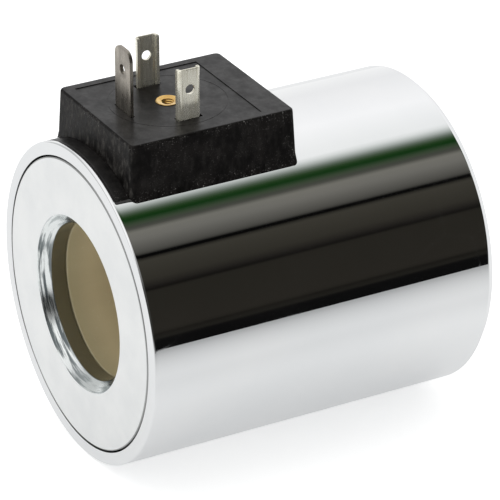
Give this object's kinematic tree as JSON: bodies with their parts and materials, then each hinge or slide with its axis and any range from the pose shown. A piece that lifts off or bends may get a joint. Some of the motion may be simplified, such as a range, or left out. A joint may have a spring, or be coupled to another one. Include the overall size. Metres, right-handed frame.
{
  "type": "solenoid valve coil",
  "caption": "Round encapsulated coil for a wet-pin hydraulic solenoid valve, with a steel can, flux end plates, through bore and a square connector base with flat pins.",
  "frame": {"origin": "on the bore axis, in the plane of the front end face, which is the one nearer the connector block", "axes": "+Y along the bore axis from the front face to the rear one, +Z from the axis towards the plug face of the connector block, +X across, which completes a right-handed frame"},
  "size_m": [0.065, 0.076, 0.0848],
  "materials": {
    "chromed_steel": "mirror-bright plated steel",
    "zinc_plate": "bright zinc plate, satin, slightly cloudy",
    "bobbin_nylon": "natural glass-filled nylon, satin",
    "enamelled_copper": "enamelled copper wire, glossy",
    "insulation_film": "amber polyester film",
    "black_nylon": "black glass-filled nylon, semi-matt, fine moulded grain",
    "carrier_nylon": "dark glass-filled nylon, matt",
    "tinned_brass": "tin-plated brass, bright with handling marks",
    "nickelled_steel": "dull nickel-plated strip",
    "bare_brass": "turned brass, bright",
    "glass_sleeving": "woven glass sleeving, varnished"
  },
  "bodies": {
    "root": {"housing_can": "chromed_steel", "front_end_plate": "zinc_plate", "rear_end_plate": "zinc_plate", "bobbin": "bobbin_nylon", "copper_winding": "enamelled_copper", "winding_tape": "insulation_film", "start_lead_pad": "insulation_film", "overmould": "black_nylon", "terminal_carrier": "carrier_nylon", "line_terminal_1": "tinned_brass", "line_terminal_2": "tinned_brass", "earth_terminal": "nickelled_steel", "threaded_insert": "bare_brass", "start_lead": "enamelled_copper", "start_lead_sleeve": "glass_sleeving", "start_lead_ferrule": "tinned_brass", "finish_lead": "enamelled_copper", "finish_lead_sleeve": "glass_sleeving", "finish_lead_ferrule": "tinned_brass", "earth_strap": "tinned_brass"}
  },
  "joints": []
}
